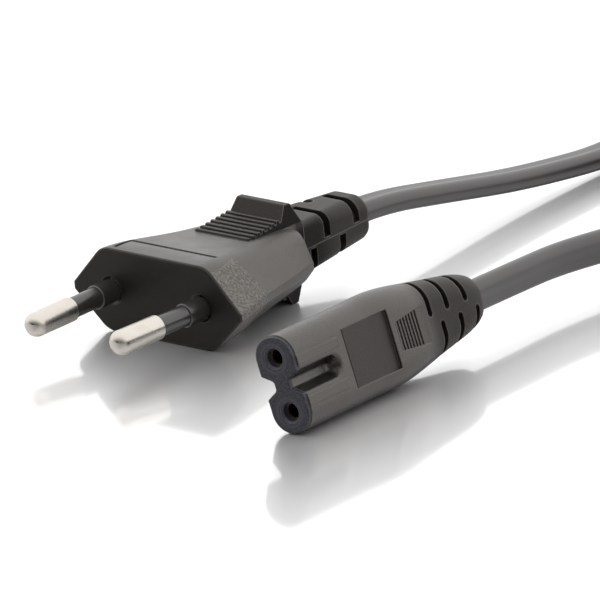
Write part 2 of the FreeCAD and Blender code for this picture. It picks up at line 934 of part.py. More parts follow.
relief_cuts = []
for i in range(int(size("cut_count"))):
    back = f"cut_first + {i} * cut_pitch"
    near = i % 2 == 1
    relief_cuts += [
        relief_cut(f"upper_cut_{i}", back, near, FLAT, "cut_seam_half"),
        relief_cut(f"lower_cut_{i}", back, near, HALF_ROUND, "-cut_seam_half"),
    ]
plug_core = extrude(
    "plug_relief_core",
    round_section(
        "plug_core_section",
        "plug_body_length",
        "cord_half_width + cut_core_wall",
        "cord_half_thick + cut_core_wall",
        "cord_half_thick + cut_core_wall - cord_edge_flat",
    ),
    "plug_length - plug_body_length",
    reverse=True,
)
plug_slots = cut("plug_slots", fuse("all_relief_cuts", relief_cuts), plug_core)
label_top = f"plug_half_thick + {CLEAR}"
label_lines = [
    box(
        "label_line_rear",
        ("-label_line_at - label_line_width", "-label_half_width", "plug_half_thick - label_line_depth"),
        ("-label_line_at", "label_half_width", label_top),
    ),
    box(
        "label_line_side",
        ("-label_line_at", "-label_half_width", "plug_half_thick - label_line_depth"),
        ("-label_line_front", "-label_half_width + label_line_width", label_top),
    ),
]
plug_form = cut("plug_form", plug_blank, fuse("plug_cuts", [plug_slots] + label_lines))

# Pins converge a little towards their tips; each carries a moulded sleeve

pin_lean = math.degrees(math.atan2(size("(pin_pitch_face - pin_pitch_tip) / 2"), size("pin_length")))
pin_sides = {"left": -1, "right": 1}


def pin_frame(side):
    return Placement(
        Vector(0, side * size("pin_pitch_face / 2"), 0), Rotation(Vector(0, 0, 1), -side * pin_lean)
    )


pin_profile = [
    ("-pin_tail_length + crimp_depth", "0"),
    ("-pin_tail_length + crimp_depth", "strand_radius"),
    ("-pin_tail_length", "strand_radius"),
    ("-pin_tail_length", "pin_shank_radius"),
    ("pin_bare_from", "pin_shank_radius"),
    ("pin_bare_from", "pin_radius"),
    ("pin_length", "pin_radius", "pin_tip_radius"),
    ("pin_length", "0"),
][::-1]
sleeve_profile = [
    ("-sleeve_seat", "pin_shank_radius"),
    ("-sleeve_seat", "sleeve_collar_radius"),
    ("sleeve_collar_length", "sleeve_collar_radius", "sleeve_collar_round"),
    ("sleeve_collar_length", "sleeve_radius"),
    ("pin_bare_from", "sleeve_radius"),
    ("pin_bare_from", "pin_shank_radius"),
][::-1]
bridge_block = box(
    "bridge_block",
    ("-bridge_wall - bridge_length", "-bridge_half_width", "-bridge_half_height"),
    ("-bridge_wall", "bridge_half_width", "bridge_half_height"),
)
bridge_form = rounded("bridge_form", bridge_block, "bridge_edge_radius", lambda edge: True)


def plug_core_wire(name, side):
    lead_end = pin_frame(side).multVec(Vector(-size("pin_tail_length + strand_bare"), 0, 0))
    front = ring(f"{name}_front", "core_radius", Placement(lead_end, pin_frame(side).Rotation.multiply(ALONG)))
    rear_end = ring(f"{name}_rear", "core_radius", Placement(Vector(), ALONG))
    at(rear_end, "-plug_core_end", f"{side} * core_half_pitch", "0")
    return loft(name, [front, rear_end])


def pin_strand(name, side):
    bare = strand(name, "pin_tail_length - crimp_depth", strand_length)
    move(bare, pin_frame(side))
    return bare


def face_hole(name, radius, depth, side):
    """A hole sunk from the pin face along a pin."""
    hole = cylinder(name, radius, f"{depth} + {CLEAR}", BACKWARD, CLEAR)
    move(hole, pin_frame(side))
    return hole


plug_cavity = [bridge_form]
bridge_holes = []
plug_inside = []
for end, side in pin_sides.items():
    shank_room = face_hole(f"{end}_shank_room", "pin_shank_radius", "pin_tail_length", side)
    collar_room = face_hole(f"{end}_collar_room", "sleeve_collar_radius", "sleeve_seat", side)
    collar_ring = flare(f"{end}_collar_ring", "sleeve_collar_radius", "sleeve_ring_chamfer")
    move(collar_ring, pin_frame(side))
    bridge_holes.append(shank_room)
    plug_cavity += [
        shank_room,
        collar_room,
        collar_ring,
        pin_strand(f"{end}_pin_strand_room", side),
        plug_core_wire(f"{end}_plug_core_room", side),
    ]
    pin = turned_body(f"{end}_pin", pin_profile)
    pin.Placement = pin_frame(side)
    sleeve = turned_body(f"{end}_sleeve", sleeve_profile)
    sleeve.Placement = pin_frame(side)
    plug_inside += [
        (f"pin_{end}", pin),
        (f"pin_sleeve_{end}", sleeve),
        (f"strands_plug_{end}", pin_strand(f"{end}_pin_strand", side)),
        (f"core_plug_{end}", plug_core_wire(f"{end}_plug_core", side)),
    ]
plug_cavity.append(
    extrude(
        "plug_cord_room",
        round_section(
            "plug_cord_section",
            "plug_core_end",
            "cord_half_width",
            "cord_half_thick",
            "cord_half_thick - cord_edge_flat",
        ),
        "plug_length - plug_core_end",
        reverse=True,
    )
)
pin_bridge = cut("pin_bridge_cut", bridge_form, fuse("bridge_holes", bridge_holes))
plug_body = cut("plug_overmould", plug_form, fuse("plug_cavity", plug_cavity))

plug_tilt = math.atan2(size("under_grip_top - plug_half_thick"), size(ridge_front))
plug_turn = Rotation(Vector(0, 0, 1), -size("plug_turn")).multiply(
    Rotation(Vector(0, 1, 0), math.degrees(plug_tilt))
)
plug_frame = Placement(
    Vector(
        size("connector_length / 2 - plug_behind"),
        -size("plug_beside"),
        rest_height(plug_body, plug_turn),
    ),
    plug_turn,
)
place("plug_body", plug_body, plug_frame)
place("pin_bridge", pin_bridge, plug_frame)
for label, thing in plug_inside:
    place(label, thing, plug_frame)

# Free cord: two plain runs and the coil between them

connector_inner_end = connector_frame.multVec(Vector(-size("connector_core_end"), 0, 0))
plug_inner_end = plug_frame.multVec(Vector(-size("plug_core_end"), 0, 0))
connector_first = connector_frame.multVec(Vector(-size("connector_length + connector_lead_out"), 0, 0))
plug_first = plug_frame.multVec(Vector(-size("plug_length + plug_lead_out"), 0, 0))
connector_route = [
    connector_inner_end,
    connector_first,
    Vector(-100.0, 12.5, 5.0),
    Vector(-144.4, 34.1, 3.0),
]
plug_route = [
    plug_inner_end,
    plug_first,
    Vector(-93.2, -37.05, 4.3),
    Vector(-122.0, -34.2, 1.95),
    Vector(-147.3, -44.4, 5.0),
]


def cord_path(name, points):
    """Straight runs joined by tangent arcs, each arc as large as its two runs allow."""
    edges, here, radii = [], points[0], []
    for before, corner, after in zip(points, points[1:], points[2:]):
        back, ahead = before - corner, after - corner
        reach = 0.45 * min(back.Length, ahead.Length)
        back.normalize()
        ahead.normalize()
        half_turn = (math.pi - back.getAngle(ahead)) / 2
        radius = reach / math.tan(half_turn)
        inward = (back + ahead).normalize()
        middle = corner + inward * (radius / math.cos(half_turn) - radius)
        start, finish = corner + back * reach, corner + ahead * reach
        edges += [Part.LineSegment(here, start).toShape(), Part.Arc(start, middle, finish).toShape()]
        here = finish
        radii.append(round(radius, 1))
    edges.append(Part.LineSegment(here, points[-1]).toShape())
    wire = Part.Wire(edges)
    print(f"{name}: length {wire.Length:.1f} mm, bend radii {radii} mm")
    return wire


def cord_run(label, points, turn):
    """A plain flat cord along a route, its section square to the first run."""
    wire = cord_path(label, points)
    half_thick, half_width = size("cord_half_thick"), size("cord_half_width")
    edge_radius = half_thick - size("cord_edge_flat")
    corners = [
        Vector(0, u * half_thick, v * half_width) for u, v in ((-1, -1), (1, -1), (1, 1), (-1, 1))
    ]
    square = Part.makePolygon(corners + corners[:1])
    blank = Part.Face(square).extrude(Vector(1, 0, 0))
    long_edges = [edge for edge in blank.Edges if edge.BoundBox.XLength > 0.5]
    section = blank.makeFillet(edge_radius, long_edges)
    end_face = next(face for face in section.Faces if face.BoundBox.XMax < 0.01)
    profile_wire = end_face.OuterWire
    profile_wire.Placement = Placement(points[0], turn)
    solid = wire.makePipeShell([profile_wire], True, False)
    solid = Part.Solid(Part.Shell(solid.Faces)) if solid.ShapeType != "Solid" else solid
    if solid.Volume < 0:
        solid.reverse()
    print(f"{label}: volume {solid.Volume:.0f}, section times length {end_face.Area * wire.Length:.0f}")
    run = doc.addObject("Part::Feature", label)
    run.Shape = solid
    place(label, run, Placement())


cord_run("cord_connector_run", connector_route, connector_frame.Rotation)
cord_run("cord_plug_run", plug_route, plug_frame.Rotation.multiply(Rotation(Vector(1, 0, 0), 90)))

coil_half_radial = "coil_columns * (cord_half_thick + coil_turn_gap / 2)"
coil_height = "coil_layers * 2 * cord_half_width"
coil_base = "tie_thick + tie_gap"
coil = revolve(
    "coil_solid",
    outline(
        "coil_section",
        [
            (f"coil_radius - {coil_half_radial}", coil_base),
            (f"coil_radius + {coil_half_radial}", coil_base),
            (f"coil_radius + {coil_half_radial}", f"{coil_base} + {coil_height}"),
            (f"coil_radius - {coil_half_radial}", f"{coil_base} + {coil_height}"),
        ],
        UPRIGHT,
    ),
    Vector(0, 0, 1),
)
coil_frame = Placement(Vector(-size("coil_centre_back"), -size("coil_centre_side"), 0), Rotation())
place("cord_coil", coil, coil_frame)

# Tie: a strap round the whole bundle on the side away from the two ends

tie_inner_low = f"coil_radius - {coil_half_radial} - tie_gap - tie_width * tie_width / (8 * coil_radius)"
tie_inner_high = f"coil_radius + {coil_half_radial} + tie_gap"
tie_top = f"{coil_base} + {coil_height} + tie_gap"
tie_outer = box(
    "tie_outer",
    (f"-({tie_inner_high}) - tie_thick", "-tie_width / 2", "0"),
    (f"-({tie_inner_low}) + tie_thick", "tie_width / 2", f"{tie_top} + tie_thick"),
)
tie_inner = box(
    "tie_inner",
    (f"-({tie_inner_high})", "-tie_width", "tie_thick"),
    (f"-({tie_inner_low})", "tie_width", tie_top),
)
place("coil_tie", cut("tie_strap", tie_outer, tie_inner), coil_frame)

# Check every feature, then write each sub-part

doc.recompute()
for thing in doc.Objects:
    if "Invalid" in thing.State or "Error" in thing.State:
        raise RuntimeError(f"{thing.Name} did not build: {thing.State}")
os.makedirs("parts", exist_ok=True)
for label, thing in nodes.items():
    shape = thing.Shape
    if shape.isNull() or not shape.isValid() or len(shape.Solids) != 1:
        raise RuntimeError(f"{label} is not one valid solid: {len(shape.Solids)} solids")
    shape.exportStep(f"parts/{label}.step")
    room = shape.optimalBoundingBox(False)
    print(
        f"{label}: volume {shape.Volume:.1f} x {room.XMin:.2f}..{room.XMax:.2f}"
        f" y {room.YMin:.2f}..{room.YMax:.2f} z {room.ZMin:.2f}..{room.ZMax:.2f}"
    )
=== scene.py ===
import bpy
import math
from mathutils import Matrix, Vector


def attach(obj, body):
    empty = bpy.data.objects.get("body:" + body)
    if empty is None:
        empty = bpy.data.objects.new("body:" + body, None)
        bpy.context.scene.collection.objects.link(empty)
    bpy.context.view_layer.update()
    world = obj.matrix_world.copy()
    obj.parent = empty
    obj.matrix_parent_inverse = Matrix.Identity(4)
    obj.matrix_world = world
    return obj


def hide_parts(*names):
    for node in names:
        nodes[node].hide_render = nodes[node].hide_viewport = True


# Mains lead: figure-eight connector in front, flat two-pin plug behind it, spare cord coiled and tied

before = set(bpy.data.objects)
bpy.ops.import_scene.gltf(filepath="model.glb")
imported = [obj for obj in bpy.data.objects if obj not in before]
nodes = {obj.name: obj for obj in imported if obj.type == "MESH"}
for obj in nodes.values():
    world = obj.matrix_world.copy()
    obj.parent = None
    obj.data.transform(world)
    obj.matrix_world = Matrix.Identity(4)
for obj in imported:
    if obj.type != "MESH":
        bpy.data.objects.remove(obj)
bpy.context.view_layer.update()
scene = bpy.context.scene
MM = 0.001


def new_object(name, data):
    """New object at the origin of the scene."""
    made = bpy.data.objects.new(name, data)
    scene.collection.objects.link(made)
    return made


def smooth(value):
    """Ease from nought to one, level at both ends."""
    value = min(max(value, 0.0), 1.0)
    return value * value * (3 - 2 * value)


# Camera at the photograph's angle, with a long lens

AIM = Vector((-33.537, -39.064, 0.0)) * MM
DISTANCE = 1.58228
ELEVATION = math.radians(16.798)
ROLL = math.radians(-3.601)
LENS = 600.0
SENSOR = 36.0
UP = Vector((0.0, 0.0, 1.0))
RIGHT = Vector((-0.60139, 0.79896, 0.0)).normalized()
AWAY = UP.cross(RIGHT)

sight = AWAY * math.cos(ELEVATION) - UP * math.sin(ELEVATION)
rise = AWAY * math.sin(ELEVATION) + UP * math.cos(ELEVATION)
camera_right = RIGHT * math.cos(ROLL) + rise * math.sin(ROLL)
camera_up = rise * math.cos(ROLL) - RIGHT * math.sin(ROLL)
camera_data = bpy.data.cameras.new("camera")
camera_data.lens = LENS
camera_data.sensor_width = SENSOR
camera = new_object("camera", camera_data)
camera_turn = Matrix((camera_right, camera_up, -sight)).transposed()
camera.matrix_world = Matrix.Translation(AIM - sight * DISTANCE) @ camera_turn.to_4x4()
scene.camera = camera

# Where the two ends lie, as the solids have them: the middle of each face, and its turn

CONNECTOR_LEAN = math.radians(16.4)
CONNECTOR_END = (Vector((24.3, 0.0, 7.69)) * MM, (CONNECTOR_LEAN, 0.0, 0.0))
PLUG_END = (Vector((-5.75, -46.25, 6.98)) * MM, (0.0, math.radians(2.57), math.radians(-6.0)))

# Route of the cord, from the connector round the coil to the plug, in millimetres

CORD_HALF_WIDTH = 2.9
CORD_HALF_THICK = 1.7
CORD_CREASE = 0.22
CONNECTOR_ROUTE = [
    (-12.7, 0.0, 7.69),
    (-34.0, 0.0, 7.66),
    (-56.0, 0.0, 7.2),
    (-100.0, 12.5, 5.0),
    (-145.7, 31.5, 3.6),
]
PLUG_ROUTE = [
    (-149.3, -41.6, 7.0),
    (-122.0, -34.6, 2.1),
    (-93.2, -37.0, 4.2),
    (-73.0, -39.1, 7.2),
    (-57.7, -40.8, 9.3),
    (-45.0, -42.1, 8.75),
    (-35.55, -43.12, 8.33),
]
STRAP_ROOM = 1.05
COIL_CENTRE = Vector((-163.0, -4.0, 0.0))
COIL_RADIUS = 32.0
COIL_PITCH = 4.0
COIL_FLOOR = STRAP_ROOM + CORD_HALF_WIDTH
COIL_LAYER = 2 * CORD_HALF_WIDTH
COIL_COLUMNS = 4
COIL_PLACES = 2 * COIL_COLUMNS
COIL_START = math.radians(84.0)
COIL_END = math.radians(270.0) + (COIL_PLACES - 1) * 2 * math.pi
# share of a turn in which the cord moves over to its next place
COIL_STEP = 0.2
POINTS_PER_TURN = 24
CURVE_STEPS = 8


def winding(index):
    """Column and layer of a turn: inwards in the lower layer, then outwards in the upper one."""
    if index < COIL_COLUMNS:
        return Vector((index, 0))
    return Vector((COIL_PLACES - 1 - index, 1))


def coil_place(turns):
    """Radius and height of the coil after so many turns."""
    index = min(int(turns), COIL_PLACES - 1)
    following = min(index + 1, COIL_PLACES - 1)
    step = smooth((turns - index - 1 + COIL_STEP) / COIL_STEP)
    column, layer = winding(index).lerp(winding(following), step)
    radius = COIL_RADIUS + COIL_PITCH * ((COIL_COLUMNS - 1) / 2 - column)
    return radius, COIL_FLOOR + COIL_LAYER * layer


def coil_points():
    """Control points of the coil, set out a little so that the spline between them keeps the radius."""
    count = round((COIL_END - COIL_START) / (2 * math.pi) * POINTS_PER_TURN)
    outward = 2 / (1 + math.cos(2 * math.pi / POINTS_PER_TURN))
    points = []
    for i in range(count + 1):
        angle = COIL_START + (COIL_END - COIL_START) * i / count
        radius, height = coil_place((angle - COIL_START) / (2 * math.pi))
        around = Vector((math.cos(angle), math.sin(angle), 0)) * radius * outward
        points.append(COIL_CENTRE + around + UP * height)
    return points


def smooth_path(route):
    """Points in metres along the NURBS spline that has the route as its control points."""
    line = bpy.data.curves.new("cord_line", "CURVE")
    line.dimensions = "3D"
    line.resolution_u = CURVE_STEPS
    spline = line.splines.new("NURBS")
    spline.points.add(len(route) - 1)
    for point, where in zip(spline.points, route):
        point.co = (*(where * MM), 1.0)
    spline.order_u = 3
    spline.use_endpoint_u = True
    line_object = new_object("cord_line", line)
    bpy.context.view_layer.update()
    depsgraph = bpy.context.evaluated_depsgraph_get()
    line_mesh = bpy.data.meshes.new_from_object(line_object.evaluated_get(depsgraph))
    points = [vertex.co.copy() for vertex in line_mesh.vertices]
    bpy.data.objects.remove(line_object)
    bpy.data.meshes.remove(line_mesh)
    return points


route = [Vector(p) for p in CONNECTOR_ROUTE] + coil_points() + [Vector(p) for p in PLUG_ROUTE]
path = smooth_path(route)
lengths = [0.0]
for before, after in zip(path, path[1:]):
    lengths.append(lengths[-1] + (after - before).length)
cord_length = lengths[-1]

# Cord: a flat twin with a shallow crease, swept along the path

SECTION_STEPS = 32
# powers that space the outline's points and shape the crease
SECTION_SPACING = 0.7
CREASE_SHAPE = 1.5
LEAN_KEPT = 60.0 * MM
LEAN_LOST_OVER = 90.0 * MM
FLAT_KEPT = 78.0 * MM
FLAT_LOST_OVER = 50.0 * MM
FLAT_TURN = math.radians(90.0)


def cord_section():
    """Twin-core outline in metres: two round edges and a shallow crease along each broad face."""
    core = CORD_HALF_WIDTH - CORD_HALF_THICK
    outline = []
    for i in range(SECTION_STEPS):
        angle = 2 * math.pi * i / SECTION_STEPS
        wide, thick = math.cos(angle), math.sin(angle)
        flat = math.copysign(abs(wide) ** SECTION_SPACING * CORD_HALF_WIDTH, wide)
        over = max(abs(flat) - core, 0.0)
        half = math.sqrt(max(CORD_HALF_THICK ** 2 - over ** 2, 0.0))
        crease = CORD_CREASE * max(1 - abs(flat) / core, 0.0) ** CREASE_SHAPE
        outline.append((flat * MM, math.copysign(half - crease, thick) * MM))
    return outline


def cord_roll(distance):
    """Angle of the broad axis from upright: leaning at the connector, lying flat at the plug."""
    lean = -CONNECTOR_LEAN * (1 - smooth((distance - LEAN_KEPT) / LEAN_LOST_OVER))
    from_plug = cord_length - distance
    return lean + FLAT_TURN * (1 - smooth((from_plug - FLAT_KEPT) / FLAT_LOST_OVER))


section = cord_section()
ring = len(section)
vertices = []
for i, here in enumerate(path):
    ahead = (path[min(i + 1, len(path) - 1)] - path[max(i - 1, 0)]).normalized()
    across = UP.cross(ahead).normalized()
    upright = ahead.cross(across)
    roll = cord_roll(lengths[i])
    broad = upright * math.cos(roll) + across * math.sin(roll)
    narrow = ahead.cross(broad)
    for wide, thick in section:
        vertices.append(here + broad * wide + narrow * thick)
faces = []
for i in range(len(path) - 1):
    for j in range(ring):
        k = (j + 1) % ring
        faces.append((i * ring + j, i * ring + k, (i + 1) * ring + k, (i + 1) * ring + j))
faces.append(tuple(range(ring))[::-1])
faces.append(tuple((len(path) - 1) * ring + j for j in range(ring)))
cord_mesh = bpy.data.meshes.new("flat_twin_cord")
cord_mesh.from_pydata(vertices, [], faces)
# the cord's own map: metres along it, and turns round it
cord_uv = cord_mesh.uv_layers.new(name="cord_uv")
for polygon in cord_mesh.polygons:
    for loop_index, vertex in zip(polygon.loop_indices, polygon.vertices):
        cord_uv.data[loop_index].uv = (lengths[vertex // ring], (vertex % ring) / ring)
cord_mesh.polygons.foreach_set("use_smooth", [True] * len(cord_mesh.polygons))
cord_mesh.update()
cord = new_object("flat_twin_cord", cord_mesh)


# Tools for the materials

# most values of a noise lie between these
NOISE_SPREAD = (0.3, 0.7)
PLASTIC_IOR = 1.53


def hex_colour(text):
    """sRGB hex to the linear colour that a socket takes."""
    parts = [int(text[i:i + 2], 16) / 255 for i in (0, 2, 4)]
    return [p / 12.92 if p <= 0.04045 else ((p + 0.055) / 1.055) ** 2.4 for p in parts] + [1.0]


def add(tree, kind, links=None, **settings):
    """Add a node: settings are its own fields, and links fill its inputs with values, sockets or nodes.

    A node given as a link stands for the first of its outputs that is in use.
    """
    node = tree.nodes.new(kind)
    for name, value in settings.items():
        setattr(node, name, value)
    for name, value in (links or {}).items():
        if isinstance(value, bpy.types.Node):
            value = next(output for output in value.outputs if output.enabled)
        if isinstance(value, bpy.types.NodeSocket):
            tree.links.new(value, node.inputs[name])
        else:
            node.inputs[name].default_value = value
    return node


def new_material(name):
    """Material with an empty node tree."""
    material = bpy.data.materials.new(name)
    material.use_nodes = True
    material.node_tree.nodes.clear()
    return material, material.node_tree


def end_coordinates(tree, end):
    """Object coordinates carried into the frame of one end, whose x points out of its face."""
    base, turn = end
    place = add(tree, "ShaderNodeTexCoord").outputs["Object"]
    links = {"Vector": place, "Location": base, "Rotation": turn}
    return add(tree, "ShaderNodeMapping", links, vector_type="TEXTURE")


def end_place(tree, local):
    """Local coordinates, and how far a point is back from the face, out to either side, and up or down."""
    split = add(tree, "ShaderNodeSeparateXYZ", {"Vector": local}).outputs
    return {
        "local": local,
        "back": add(tree, "ShaderNodeMath", {0: split["X"], 1: -1.0}, operation="MULTIPLY"),
        "side": add(tree, "ShaderNodeMath", {0: split["Y"]}, operation="ABSOLUTE"),
        "level": add(tree, "ShaderNodeMath", {0: split["Z"]}, operation="ABSOLUTE"),
    }


def from_axis(tree, paired, spacing, other):
    """Distance from the nearer of two axes that stand a spacing to each side of the middle."""
    off = add(tree, "ShaderNodeMath", {0: paired, 1: spacing}, operation="SUBTRACT")
    joined = add(tree, "ShaderNodeCombineXYZ", {"X": off, "Y": other})
    return add(tree, "ShaderNodeVectorMath", {0: joined}, operation="LENGTH")


def zone(tree, place, limits):
    """One inside every limit and nought outside. Limits are in millimetres, and None leaves an end open."""
    mask = 1.0
    for direction, low, high in limits:
        for end, operation in ((low, "GREATER_THAN"), (high, "LESS_THAN")):
            if end is None:
                continue
            inside = add(tree, "ShaderNodeMath", {0: place[direction], 1: end * MM}, operation=operation)
            mask = add(tree, "ShaderNodeMath", {0: mask, 1: inside}, operation="MULTIPLY")
    return mask


def soft_zone(tree, place, slopes, unit=MM):
    """Product of smooth slopes, each given by where it is nought and where it is one."""
    mask = 1.0
    for direction, nought, one in slopes:
        links = {"Value": place[direction], "From Min": nought * unit, "From Max": one * unit}
        slope = add(tree, "ShaderNodeMapRange", links, interpolation_type="SMOOTHSTEP")
        mask = add(tree, "ShaderNodeMath", {0: mask, 1: slope}, operation="MULTIPLY")
    return mask


def mottle(tree, tone_noise, gloss_noise, tones, gloss, spread=NOISE_SPREAD):
    """Tone and roughness that wander over noises, each between two values."""
    links = {"Factor": tone_noise, "A": hex_colour(tones[0]), "B": hex_colour(tones[1])}
    tone = add(tree, "ShaderNodeMix", links, data_type="RGBA")
    links = {
        "Value": gloss_noise,
        "From Min": spread[0],
        "From Max": spread[1],
        "To Min": gloss[0],
        "To Max": gloss[1],
    }
    return tone, add(tree, "ShaderNodeMapRange", links)


def erosion(tree, local, size, spread):
    """Pits that spark erosion leaves on a mould, and how far each point is a crest between them."""
    pits = add(tree, "ShaderNodeTexNoise", {"Vector": local, "Scale": 1 / size, "Detail": 2.0})
    crest = add(tree, "ShaderNodeMapRange", {"Value": pits, "From Min": spread[0], "From Max": spread[1]})
    return pits, crest


def cover(tree, look, mask, **over):
    """Lay other values over some fields of a look, where the mask is one."""
    for field, value in over.items():
        kind = "RGBA" if field == "tone" else "FLOAT"
        links = {"Factor": mask, "A": look[field], "B": value}
        look[field] = add(tree, "ShaderNodeMix", links, data_type=kind)


# Outer edges that handling has polished, paled both for wear and as a painted highlight where they catch the
# light; found where a rounded normal leaves the flat one

EDGE_SAMPLES = 8
EDGE_SLOPES = (("alike", 0.995, 0.93), ("open", 0.8, 0.97))


def worn_and_highlit_edges(tree, radius):
    """Normal that rounds the edges softly, and a mask of the outer edges, where wear and a painted highlight
    are laid.
    """
    edge_normal = add(tree, "ShaderNodeBevel", {"Radius": radius}, samples=EDGE_SAMPLES)
    flat_normal = add(tree, "ShaderNodeNewGeometry").outputs["True Normal"]
    reach = {"Distance": 2 * radius}
    around = add(tree, "ShaderNodeAmbientOcclusion", reach, samples=EDGE_SAMPLES, only_local=True)
    signs = {
        "alike": add(tree, "ShaderNodeVectorMath", {0: edge_normal, 1: flat_normal}, operation="DOT_PRODUCT"),
        "open": around.outputs["AO"],
    }
    return edge_normal, soft_zone(tree, signs, EDGE_SLOPES, unit=1.0)


# Moulded flexible PVC: near-black, a little warm, with a soft sheen from a fine-eroded mould

PVC_TONES = ("1c1917", "24201d")
PVC_GLOSS = (0.29, 0.37)
PVC_SHEEN = hex_colour("fff8f0")
PVC_EDGE = 0.3 * MM
# paler tone of the outer edges: partly wear, partly a painted highlight
EDGE_WEAR_AND_HIGHLIGHT_TONE = hex_colour("3a3632")
WORN_ROUGHNESS = 0.26
SATIN_SPECULAR = 0.9
DULL_SPECULAR = 0.29
DULL_ROUGHNESS = 0.45
# grain left by the mould, and slow changes of gloss from handling and mould release
PVC_GRAIN = 0.25 * MM
PVC_GRAIN_DEPTH = 0.1 * MM
PVC_HAZE = 3.85 * MM


def moulded_pvc(name, end, dull_parts, details):
    """Satin PVC, duller where the mould is rougher; details add what only one end has."""
    material, tree = new_material(name)
    local = end_coordinates(tree, end)
    place = end_place(tree, local)
    links = {"Vector": local, "Scale": 1 / PVC_GRAIN, "Detail": 2.0, "Roughness": 0.6}
    grain = add(tree, "ShaderNodeTexNoise", links)
    haze = add(tree, "ShaderNodeTexNoise", {"Vector": local, "Scale": 1 / PVC_HAZE, "Detail": 2.0})
    tone, rough = mottle(tree, haze, haze, PVC_TONES, PVC_GLOSS)
    look = {"tone": tone, "rough": rough, "sheen": SATIN_SPECULAR, "height": grain}
    cover(tree, look, dull_parts(tree, place), rough=DULL_ROUGHNESS, sheen=DULL_SPECULAR)
    for detail in details:
        detail(tree, place, look)
    edge_normal, edge_wear_and_highlight = worn_and_highlit_edges(tree, PVC_EDGE)
    # outer edges take a paler tone: wear, and a painted highlight where they catch the light
    cover(tree, look, edge_wear_and_highlight, tone=EDGE_WEAR_AND_HIGHLIGHT_TONE, rough=WORN_ROUGHNESS, sheen=SATIN_SPECULAR)
    links = {"Height": look["height"], "Strength": 0.8, "Distance": PVC_GRAIN_DEPTH, "Normal": edge_normal}
    bump = add(tree, "ShaderNodeBump", links)
    shader = add(
        tree,
        "ShaderNodeBsdfPrincipled",
        {
            "Base Color": look["tone"],
            "Roughness": look["rough"],
            "IOR": PLASTIC_IOR,
            "Specular IOR Level": look["sheen"],
            "Specular Tint": PVC_SHEEN,
            "Normal": bump,
        },
    )
    add(tree, "ShaderNodeOutputMaterial", {"Surface": shader})
    return material


# Finishes of the connector's overmould, by their places in millimetres

LABEL_PANEL = (("back", 12.8, 24.1), ("side", 3.0, None), ("level", None, 4.7))
LABEL_PANEL_DULLNESS = 0.8
CONNECTOR_RELIEF = (("back", 31.0, 36.0),)
KEYING_GROOVE = (("back", None, 11.6), ("side", None, 3.45), ("level", None, 2.4))
# darker tone inside the grooves: painted shade
GROOVE_SHADE_TONE = hex_colour("12100f")
GROOVE_ROUGHNESS = 0.2


def connector_dull(tree, place):
    """Label panel, in part, and strain relief."""
    links = {0: zone(tree, place, LABEL_PANEL), 1: LABEL_PANEL_DULLNESS}
    panel = add(tree, "ShaderNodeMath", links, operation="MULTIPLY")
    relief = soft_zone(tree, place, CONNECTOR_RELIEF)
    return add(tree, "ShaderNodeMath", {0: panel, 1: relief}, operation="MAXIMUM")


def polished_and_shaded_grooves(tree, place, look):
    """The keying grooves are polished, unlike the outside, and their tone is darkened as painted shade."""
    cover(tree, look, zone(tree, place, KEYING_GROOVE), rough=GROOVE_ROUGHNESS, tone=GROOVE_SHADE_TONE)


# Finishes of the plug's overmould, by their places in millimetres

PIN_FACE = (("back", None, 0.3),)
THUMB_GRIPS = (("back", 15.8, 27.5), ("side", None, 5.8), ("level", 5.2, None))
PLUG_RELIEF = (("back", 26.5, 27.5),)
ERODED_BANDS = (("back", 0.4, 20.0), ("side", 9.8, None), ("level", None, 6.1))
BAND_TOP = 6.0 * MM
BAND_REACH_LOW = 10.5 * MM
BAND_REACH_HIGH = 7.5 * MM
BAND_PITS = 0.345 * MM
BAND_CRESTS = (0.35, 0.7)
# the crests between the pits take the paler tone: a painted highlight
BAND_TONE_AND_CREST_HIGHLIGHT = ("24211c", "74706a")
BAND_ROUGHNESS = 0.55
BAND_DEPTH = 3.0
# how far the grips' walls lean in, for each millimetre up
WALL_LEAN = 0.226
GRIP_WALLS = (("back", 15.8, 28.5), ("side", 4.9, 5.74), ("level", 4.5, None), ("leaning", 6.84, None))
RELIEF_ROOT_FLANKS = PLUG_RELIEF + (("back", 38.0, 32.0), ("side", 3.5, 4.5), ("level", 4.4, 3.4))
PIN_FACE_MATT_AND_SHADE = 0.4
# near-black tone of the grip walls, relief flanks and pin face: painted shade
PAINTED_SHADE_TONE = hex_colour("100e0d")
MATT_SPECULAR = 0.12
PARTING_LINE = (("back", 27.0, None), ("side", 3.0, None), ("level", None, 0.12))
PARTING_TONE = hex_colour("4c4844")
PARTING_HEIGHT = 2.0


def plug_dull(tree, place):
    """Pin face, thumb grips and strain relief."""
    dull = soft_zone(tree, place, PLUG_RELIEF)
    for part in (PIN_FACE, THUMB_GRIPS):
        dull = add(tree, "ShaderNodeMath", {0: dull, 1: zone(tree, place, part)}, operation="MAXIMUM")
    return dull


